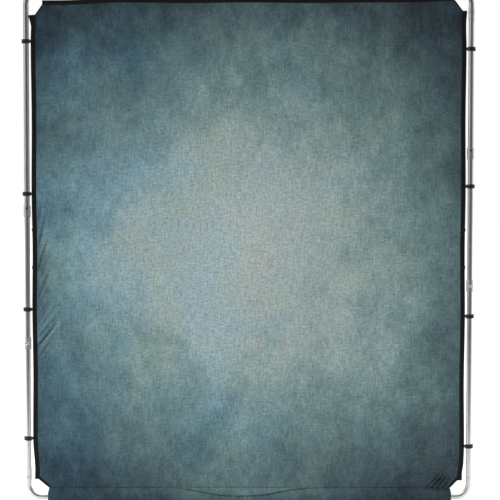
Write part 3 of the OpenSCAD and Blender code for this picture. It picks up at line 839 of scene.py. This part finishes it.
def side_border(side):
    """A side binding, with the narrow edging across the cut corners above and below it."""
    name = {-1: "border_left", 1: "border_right"}[side]
    parts = Parts()
    points, widen = border_path(side)
    tape_along(parts, points, BINDING_W, BINDING_T, BORDER_ROWS, widen)
    high, low = TOP_CUT_Z[side], SIDE_TOP[side]
    a = (side * (cut_x(side, high - HAIR) + RIM_PAST), dropped(side * cut_x(side, high), high))
    b = (side * (cut_x(side, low + HAIR) + RIM_PAST), dropped(side * cut_x(side, low), low))
    tape_along(parts, rim_path(a, b), RIM_W, RIM_T, (0,))
    # the lower cut is bound by the same tape, turned under the end of the side binding
    a = (side * (cut_x(side, SIDE_END[side]) + LOW_RIM_IN), SIDE_END[side] + LOW_RIM_UP[side])
    b = (side * (cut_x(side, SEAM_Z + HAIR) - LOW_RIM_IN), SEAM_Z + HAIR)
    points = [point + FRONT * LOW_RIM_PROUD for point in rim_path(a, b, 14)]
    widen = np.linspace(*LOW_RIM_WIDEN, len(points)).tolist()
    tape_along(parts, points, LOW_RIM_W, RIM_T, (0,), widen)
    piece = parts.build(name + "_tape", "top_unit", [BINDING, BLACK_THREAD])
    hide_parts(name)
    return piece


def top_border():
    parts = Parts()
    left, right = -cut_x(-1, PANEL_HIGH.z), cut_x(1, PANEL_HIGH.z)
    middle_z = TOP_EDGE_Z - BINDING_W / 2 - TOP_BORDER_IN
    points = []
    for k in range(TOP_BORDER_STEPS + 1):
        x = left + (right - left) * k / TOP_BORDER_STEPS
        points.append(Vector((x, -float(edge_wave(x, PANEL_HIGH.z)), middle_z - float(top_drop(x)))))
    tape_along(parts, points, BINDING_W, BINDING_T, BORDER_ROWS)
    x = left - RIM_PAST
    a, b = (x, dropped(x, PANEL_HIGH.z)), (x, dropped(x, TOP_CUT_Z[-1]))
    tape_along(parts, rim_path(a, b), RIM_W, RIM_T, (0,))
    piece = parts.build("border_top_tape", "top_unit", [BINDING, BLACK_THREAD])
    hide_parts("border_top")
    return piece


# ---- webbing grips ----
GRIP_STEPS = 26
GRIP_W, GRIP_T = BINDING_W - 1 * MM, 1.5 * MM
GRIP_ROWS = (-7 * MM, 7 * MM)
GRIP_OFF, GRIP_BOW = 1.1 * MM, 2.4 * MM      # how far it stands off the binding, and how much it bows
GRIP_END = 7 * MM
END_W, END_T = 13 * MM, 1.3 * MM
TACKS, TACK_PITCH, TACK_IN, TACK_L = 7, 1.7 * MM, 11 * MM, 6 * MM


def add_band(parts, points, wide, w, t):
    """A band of webbing on a path, w wide along the fixed direction wide and t thick."""
    out = []
    for n in range(len(points)):
        ahead, behind = points[min(n + 1, len(points) - 1)], points[max(n - 1, 0)]
        out.append((ahead - behind).normalized().cross(wide).normalized())
    profile = tape_profile(w, t)
    verts, faces = sweep(points, [wide] * len(points), out, profile)
    run, uvs = 0.0, []
    for n, p in enumerate(points):
        run += (p - points[n - 1]).length if n else 0.0
        uvs += [(a, run) for a, _ in profile]
    parts.add(verts, faces, 0, uvs)


def grip_end(parts, side, z):
    """A grip's folded end, wrapped round the binding's outer edge and bar tacked."""
    edge = float(edge_out(side, z))
    front, back = -BINDING_T / 2, BINDING_T / 2
    wrap = [
        (edge - 15 * MM, front - 0.8 * MM), (edge - 3 * MM, front - 1.0 * MM),
        (edge + 1.2 * MM, front - 0.2 * MM), (edge + 1.9 * MM, 0.4 * MM),
        (edge + 1.2 * MM, back + 1.0 * MM), (edge - 4 * MM, back + 1.6 * MM),
        (edge - 15 * MM, back + 1.5 * MM),
    ]
    wave = float(edge_wave(side * (edge - BINDING_W / 2), z))
    add_band(parts, [Vector((side * x, y - wave, z)) for x, y in wrap], UPWARD, END_W, END_T)
    for k in range(TACKS):
        up = (k - (TACKS - 1) / 2) * TACK_PITCH
        at = Vector((side * (edge - TACK_IN), front - 1.4 * MM - wave, z + up))
        parts.add(*stitch(at, RIGHTWARD, FRONT, TACK_L), 1)


def side_grips():
    low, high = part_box("side_grips")
    parts = Parts()
    for side in (-1, 1):
        points = []
        for k in range(GRIP_STEPS + 1):
            t = k / GRIP_STEPS
            z = high.z + (low.z - high.z) * t
            x = side * (float(edge_out(side, z)) - BINDING_W / 2)
            bowed = BINDING_T / 2 + GRIP_OFF + GRIP_BOW * math.sin(math.pi * t) ** 2
            points.append(Vector((x, bowed - float(edge_wave(x, z)), z)))
        tape_along(parts, points, GRIP_W, GRIP_T, GRIP_ROWS)
        for z in (high.z - GRIP_END, low.z + GRIP_END):
            grip_end(parts, side, z)
    piece = parts.build("side_grips_webbing", "top_unit", [WEBBING, BLACK_THREAD])
    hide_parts("side_grips")
    return piece


# ---- webbing loops on the clips ----
LOOP_R = 2.3 * MM
LOOP_T = 1.1 * MM
LOOP_W = 10.8 * MM
TAIL, TOP_TAIL = 15 * MM, 21 * MM
BOX_ROWS = (0.35, 0.55, 0.75, 0.95)
BOX_STITCHES, BOX_PITCH, BOX_STITCH_L = 4, 2.6 * MM, 2.2 * MM
TAIL_BACK = 11 * MM


def loop_line(tail):
    """Path of a loop, (outward, back) from the clip's bar: round the bar, past the edge and in behind it."""
    line = [(LOOP_R * math.cos(a), LOOP_R * math.sin(a)) for a in
            (math.radians(v) for v in range(150, -181, -22))]
    line += [(-LOOP_R, 3 * MM), (-LOOP_R - 0.1 * MM, 6 * MM), (-LOOP_R - 0.5 * MM, 8.6 * MM),
             (-LOOP_R - 2 * MM, 10.1 * MM), (-LOOP_R - 5 * MM, 10.45 * MM), (-LOOP_R - tail, 10.4 * MM)]
    return line


def clip_loops(node_name, body, clips):
    """All the loops of one CAD node. clips lists each clip's name and the direction away from the cover."""
    parts = Parts()
    for name, outward in clips:
        bar = Vector(next(j for j in frame["joints"] if j["child"] == name)["pos_m"])
        wide = RIGHTWARD if outward is UPWARD else UPWARD
        tail = TOP_TAIL if outward is UPWARD else TAIL
        points = [bar + outward * a + BACKWARD * b for a, b in loop_line(tail)]
        add_band(parts, points, wide, LOOP_W, LOOP_T)
        # a box of stitches where the tail is sewn down
        for a in BOX_ROWS:
            row = bar - outward * (LOOP_R + tail * a) + BACKWARD * TAIL_BACK
            for k in range(BOX_STITCHES):
                at = row + wide * ((k - (BOX_STITCHES - 1) / 2) * BOX_PITCH)
                parts.add(*stitch(at, wide, BACKWARD, BOX_STITCH_L), 1)
    piece = parts.build(node_name + "_webbing", body, [WEBBING, BLACK_THREAD])
    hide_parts(node_name)
    return piece


# ---- bottom flap ----
FLAP_T = 1.1 * MM
FLAP_R = RAIL_R + 2.4 * MM
FLAP_FLARE = 0.007
FLAP_SAG = 8.5 * MM
FLAP_UP, SEAM_BEHIND = 4 * MM, 0.9 * MM      # where its top edge lies, above the seam and behind the cover
FRONT_STEPS, TURN_STEPS = 44, 18
FLAP_TURN = 212     # degrees, from the front of the rail under it and up its back
BELLY_X, BELLY_SPREAD, SLACK_SPREAD = -0.035, 0.19, 0.31
BELLY_OUT, BELLY_TUCK = 7 * MM, 3 * MM
LIP = 0.05
MIRROR_PLEATS = 9
MIRROR_FROM, MIRROR_LEAN = 0.118, 0.14
MIRROR_W = 4.5 * MM
MIRROR_GROOVE, MIRROR_RIDGE = -4.6 * MM, 5.4 * MM
PLEAT_ZONE = 0.2
PLEAT_COLUMNS, PLAIN_COLUMNS = 66, 260


def belly_depth(x):
    """How far down its front the slack middle of the flap hangs over, as a share of the way."""
    return 0.14 + 0.66 * math.exp(-abs((x - BELLY_X) / BELLY_SPREAD) ** 3)


def belly(x, t):
    """The slack middle swells down to a lip and tucks in sharply below it."""
    depth = belly_depth(x)
    swell = min(1, t / depth) ** 1.5 * smooth((depth + LIP - t) / LIP)
    tuck = math.exp(-((t - depth - 0.06) / LIP) ** 2)
    slack = math.exp(-(x / SLACK_SPREAD) ** 6)
    return slack * (BELLY_TUCK * tuck - BELLY_OUT * swell) * smooth((t - 0.06) / 0.06)


def flap_section(x):
    """The flap's path at x as (y, z), from behind the seam down its front, under the rail and up its back."""
    top = SEAM_Z + FLAP_UP
    gather = rise_at(x, SEAM_Z)
    line = []
    for k in range(FRONT_STEPS + 1):
        t = k / FRONT_STEPS
        forward = (FLAP_R + SEAM_BEHIND) * smooth((t - 0.05) * 1.3) ** 0.9 + gather * smooth(1 - t * 1.4)
        line.append((SEAM_BEHIND - forward + belly(x, t), top + (RAIL.z - top) * t))
    uneven = 1 + 0.25 * math.sin(5.1 * x + 1) + 0.12 * math.sin(23 * x)
    for k in range(1, TURN_STEPS + 1):
        a = math.radians(180 + FLAP_TURN * k / TURN_STEPS)
        hang = FLAP_SAG * max(0, -math.sin(a)) ** 1.5 * uneven
        line.append((FLAP_R * math.cos(a), RAIL.z + FLAP_R * math.sin(a) - hang))
    return line


def flap_wrinkle(x, t):
    """Rise of the flap along its own normal at x; t runs from 0 at the seam to 1 at its hem."""
    # the fine waves die out under the tape that is sewn along the hem
    fine = min(1, 8 * t) * (1 - 0.9 * smooth((t - 0.84) / 0.06))
    rise = 0.8 * MM * math.sin(29 * x + 2.4 * math.sin(7 * x)) * math.sin(math.pi * min(1, 2.2 * t))
    rise += 0.5 * MM * math.sin(83 * x + 9 * t + 3 * math.sin(11 * x)) * fine
    rise += 0.3 * MM * math.sin(190 * x - 14 * t + 4 * math.sin(23 * x)) * fine
    # pleats that mirror the gathers above the seam
    upper = max(0, 1 - 2.4 * t) * min(1, 12 * t)
    for k in range(MIRROR_PLEATS):
        d = (x - (FLAP_HIGH.x - MIRROR_FROM + PLEAT_PITCH * k + MIRROR_LEAN * t)) / MIRROR_W
        rise += (MIRROR_RIDGE if k % 2 else MIRROR_GROOVE) * math.exp(-0.5 * d * d) * upper
    return rise


def sheet_from_sections(name, xs, section, wrinkle, thickness):
    """A thin sheet of printed cloth on the bottom unit, whose path in each plane of x is section(x)."""
    sections = [np.array(section(x)) for x in xs]
    n, m = len(xs), len(sections[0])
    front, back, uvs = [], [], []
    for x, line in zip(xs, sections):
        ahead = np.gradient(line, axis=0)
        normal = np.stack([ahead[:, 1], -ahead[:, 0]], 1)
        normal /= np.maximum(np.linalg.norm(normal, axis=1)[:, None], 1e-9)
        run = np.concatenate([[0], np.cumsum(np.linalg.norm(np.diff(line, axis=0), axis=1))])
        for k in range(m):
            lift = wrinkle(x, k / (m - 1))
            p = line[k] + normal[k] * lift
            a, b = p + normal[k] * thickness / 2, p - normal[k] * thickness / 2
            flare = 1 + FLAP_FLARE * (1 - max(0, 1 - 2.5 * k / (m - 1)))
            front.append((x * flare, a[0], a[1]))
            back.append((x * flare, b[0], b[1]))
            uvs.append((x, line[0][1] - run[k]))
    faces, slots = sheet_faces(n, m, turned=True)
    return mesh_object(name, front + back, faces, "bottom_unit", [CLOTH_FRONT, CLOTH_BACK],
                       uvs + uvs, slots)


def bottom_flap():
    zone = FLAP_HIGH.x - PLEAT_ZONE
    xs = np.concatenate([np.linspace(FLAP_LOW.x, zone, PLAIN_COLUMNS)[:-1],
                         np.linspace(zone, FLAP_HIGH.x, PLEAT_COLUMNS)])
    piece = sheet_from_sections("bottom_flap_cloth", xs, flap_section, flap_wrinkle, FLAP_T)
    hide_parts("bottom_flap")
    return piece


# ---- the flap's inner lap ----
LAP_R = RAIL_R + 1.35 * MM
LAP_T = 0.8 * MM
LAP_FROM, LAP_TURN, LAP_STEPS = 172, 206, 22      # degrees round the rail, and steps
LAP_IN = 4 * MM
LAP_COLUMNS = 120


def lap_section(x):
    """The lap's path, the same at every x: from behind the flap's front over the rail and down its back."""
    angles = [math.radians(LAP_FROM - LAP_TURN * k / LAP_STEPS) for k in range(LAP_STEPS + 1)]
    return [(LAP_R * math.cos(a), RAIL.z + LAP_R * math.sin(a)) for a in angles]


def lap_wrinkle(x, t):
    return 0.12 * MM * math.sin(31 * x + 5 * t)


def inner_lap():
    xs = np.linspace(FLAP_LOW.x + LAP_IN, FLAP_HIGH.x - LAP_IN, LAP_COLUMNS)
    return sheet_from_sections("flap_inner_lap", xs, lap_section, lap_wrinkle, LAP_T)


# ---- closure tape and seam ----
HOOK_W, HOOK_T = 13 * MM, 0.8 * MM
HOOK_R = FLAP_R + FLAP_T / 2 + 0.6 * MM
HOOK_ANGLE = math.radians(10)
HOOK_STEPS = 200
HOOK_ROWS = (-5 * MM, 5 * MM)
HOOK_STITCH = 5.5 * MM
SEAM_STITCH, SEAM_ROW_UP = 5 * MM, 5 * MM


def bent_profile(w, t, radius, steps=10):
    """The cross-section of a flat tape, w wide and t thick, laid round a cylinder of the given radius."""
    across = [w * (k / steps - 0.5) for k in range(steps + 1)]
    outer = [(a, t / 2 - a * a / (2 * radius)) for a in across]
    inner = [(a, -t / 2 - a * a / (2 * radius)) for a in reversed(across)]
    return outer + inner


def closure_tape():
    """Hook-and-loop tape sewn along the flap's hem, behind the rail."""
    parts = Parts()
    low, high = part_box("flap_closure_tape")
    out = Vector((0, math.cos(HOOK_ANGLE), math.sin(HOOK_ANGLE)))
    wide = Vector((0, -math.sin(HOOK_ANGLE), math.cos(HOOK_ANGLE)))
    start = Vector((low.x, 0, RAIL.z)) + out * HOOK_R
    points = [start + RIGHTWARD * ((high.x - low.x) * k / HOOK_STEPS) for k in range(HOOK_STEPS + 1)]
    bend = bent_profile(HOOK_W, HOOK_T, HOOK_R)
    verts, faces = sweep(points, [wide] * len(points), [out] * len(points), bend)
    parts.add(verts, faces, 0, [(a, p.x) for p in points for a, _ in bend])
    for row in HOOK_ROWS:
        drop = row * row / (2 * HOOK_R)
        for k in range(int((high.x - low.x) / HOOK_STITCH) - 1):
            at = start + RIGHTWARD * ((k + 0.7) * HOOK_STITCH) + wide * row + out * (HOOK_T / 2 - drop)
            parts.add(*stitch(at, RIGHTWARD, out), 1)
    piece = parts.build("flap_closure_tape_cloth", "bottom_unit", [TAPE, BLACK_THREAD])
    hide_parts("flap_closure_tape")
    return piece


def seam_stitches():
    """The stitched seam along the bottom of the cover."""
    parts = Parts()
    left, right = -cut_x(-1, SEAM_Z), cut_x(1, SEAM_Z)
    z = SEAM_Z + SEAM_ROW_UP
    for k in range(int((right - left) / SEAM_STITCH) - 1):
        x = left + (k + 0.8) * SEAM_STITCH
        y = -rise_at(x, z) - CLOTH_T / 2 - float(hem_roll(SEAM_ROW_UP))
        parts.add(*stitch(Vector((x, y, z)), RIGHTWARD, FRONT), 0)
    return parts.build("seam_stitches", "top_unit", [TEAL_THREAD])


# ---- camera, light and floor ----
VIEW_DISTANCE = 7.0
VIEW_ELEVATION = math.radians(2.7)
VIEW_SPAN = 2.232       # the width that the picture takes in at the panel
VIEW_AIM = Vector((0.006, 0, middle("fabric_panel").z - 0.0165))
SENSOR_W = 36
FLOOR_HALF = 40.0


def make_camera():
    data = bpy.data.cameras.new("camera")
    data.sensor_width = SENSOR_W
    data.lens = SENSOR_W * VIEW_DISTANCE / VIEW_SPAN
    camera = bpy.data.objects.new("camera", data)
    towards = Vector((0, -math.cos(VIEW_ELEVATION), math.sin(VIEW_ELEVATION)))
    camera.location = VIEW_AIM + VIEW_DISTANCE * towards
    camera.rotation_euler = (math.pi / 2 - VIEW_ELEVATION, 0, 0)
    bpy.context.scene.collection.objects.link(camera)
    bpy.context.scene.camera = camera


def soft_light(name, place, size, power):
    """An area lamp aimed at the panel. The tubes don't mirror it: the world's softboxes do that."""
    data = bpy.data.lights.new(name, "AREA")
    data.shape = "RECTANGLE"
    data.size, data.size_y = size
    data.energy = power
    light = bpy.data.objects.new(name, data)
    light.location = place
    light.visible_glossy = False
    light.rotation_euler = (VIEW_AIM - Vector(place)).to_track_quat("-Z", "Y").to_euler()
    bpy.context.scene.collection.objects.link(light)


# from straight in front at 0 to straight behind at 1
STUDIO_GREYS = [
    (0.00, (0.14, 0.14, 0.145)),
    (0.05, (0.15, 0.15, 0.155)),
    (0.15, (0.27, 0.27, 0.28)),
    (0.28, (0.75, 0.75, 0.76)),
    (0.45, (1.2, 1.2, 1.2)),
    (0.62, (0.9, 0.9, 0.9)),
    (0.72, (0.24, 0.24, 0.245)),
    (0.90, (0.28, 0.28, 0.285)),
    (0.955, (1, 1, 1)),
]


def make_world():
    """A white studio with darker flags in front and just behind, which give the tubes their grey lines."""
    world = bpy.data.worlds.new("studio")
    bpy.context.scene.world = world
    world.use_nodes = True
    tree = world.node_tree
    where = node(tree, "TexCoord").outputs["Generated"]
    split = node(tree, "SeparateXYZ", {0: where})
    turned = maths(tree, "MULTIPLY_ADD", split.outputs[0], -0.28, split.outputs[1])
    back = maths(tree, "MULTIPLY_ADD", turned, 0.5, 0.5)
    around = ramp(tree, back, [(at, (*grey, 1)) for at, grey in STUDIO_GREYS])
    overhead = maths(tree, "MULTIPLY_ADD", split.outputs[2], 2.5, -1.0, clamp=True)
    behind = maths(tree, "MULTIPLY_ADD", split.outputs[1], 2.0, 0.8, clamp=True)
    above = maths(tree, "MULTIPLY", overhead, behind)
    shade = mix_colour(tree, above, around, (2.3, 2.3, 2.3, 1))
    tree.links.new(shade, tree.nodes["Background"].inputs["Color"])
    tree.nodes["Background"].inputs["Strength"].default_value = 1.0


def make_floor(level):
    mesh = bpy.data.meshes.new("floor")
    corners = [(x * FLOOR_HALF, y * FLOOR_HALF, level) for x, y in ((-1, -1), (1, -1), (1, 1), (-1, 1))]
    mesh.from_pydata(corners, [], [(0, 1, 2, 3)])
    mesh.materials.append(floor_material())
    floor = bpy.data.objects.new("floor", mesh)
    bpy.context.scene.collection.objects.link(floor)
    floor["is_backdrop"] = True


make_camera()
make_world()
soft_light("key_left", (-4.6, -2.3, 0.6), (0.9, 1.6), 175)
soft_light("fill_right", (4.6, -3.6, 0.0), (2.0, 3.0), 85)
bpy.context.scene.view_settings.view_transform = "Standard"

# ---- build ----
cover = fabric_panel()
left_border = side_border(-1)
right_border = side_border(1)
top_tape = top_border()
grips = side_grips()
seam = seam_stitches()
clip_loops("top_unit_loops", "top_unit", [
    ("clip_left_1", LEFTWARD), ("clip_left_2", LEFTWARD), ("clip_right_1", RIGHTWARD),
    ("clip_top_left", UPWARD), ("clip_top_middle", UPWARD), ("clip_top_right", UPWARD)])
clip_loops("left_middle_loop", "left_link", [("clip_left_3", LEFTWARD)])
clip_loops("right_middle_loop", "right_link", [("clip_right_2", RIGHTWARD)])
clip_loops("bottom_unit_loops", "bottom_unit", [
    ("clip_left_4", LEFTWARD), ("clip_right_3", RIGHTWARD), ("clip_right_4", RIGHTWARD)])
flap = bottom_flap()
lap = inner_lap()
hem_tape = closure_tape()

# ---- soft pieces ----
# The cover is drawn together between the top rail and the bottom rail as it swings up behind; here each soft piece
# is only given a mesh of its own.
for soft in (cover, left_border, right_border, top_tape, grips, seam):
    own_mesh(soft)


# ---- the flap's run length at a plain place, worked out and not kept ----
def run_length(line):
    return sum(math.dist(a, b) for a, b in zip(line, line[1:]))


PLAIN_X = 0.6       # where the flap has neither its belly nor its pleats
run_length(flap_section(PLAIN_X))

make_floor(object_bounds()[0][2])
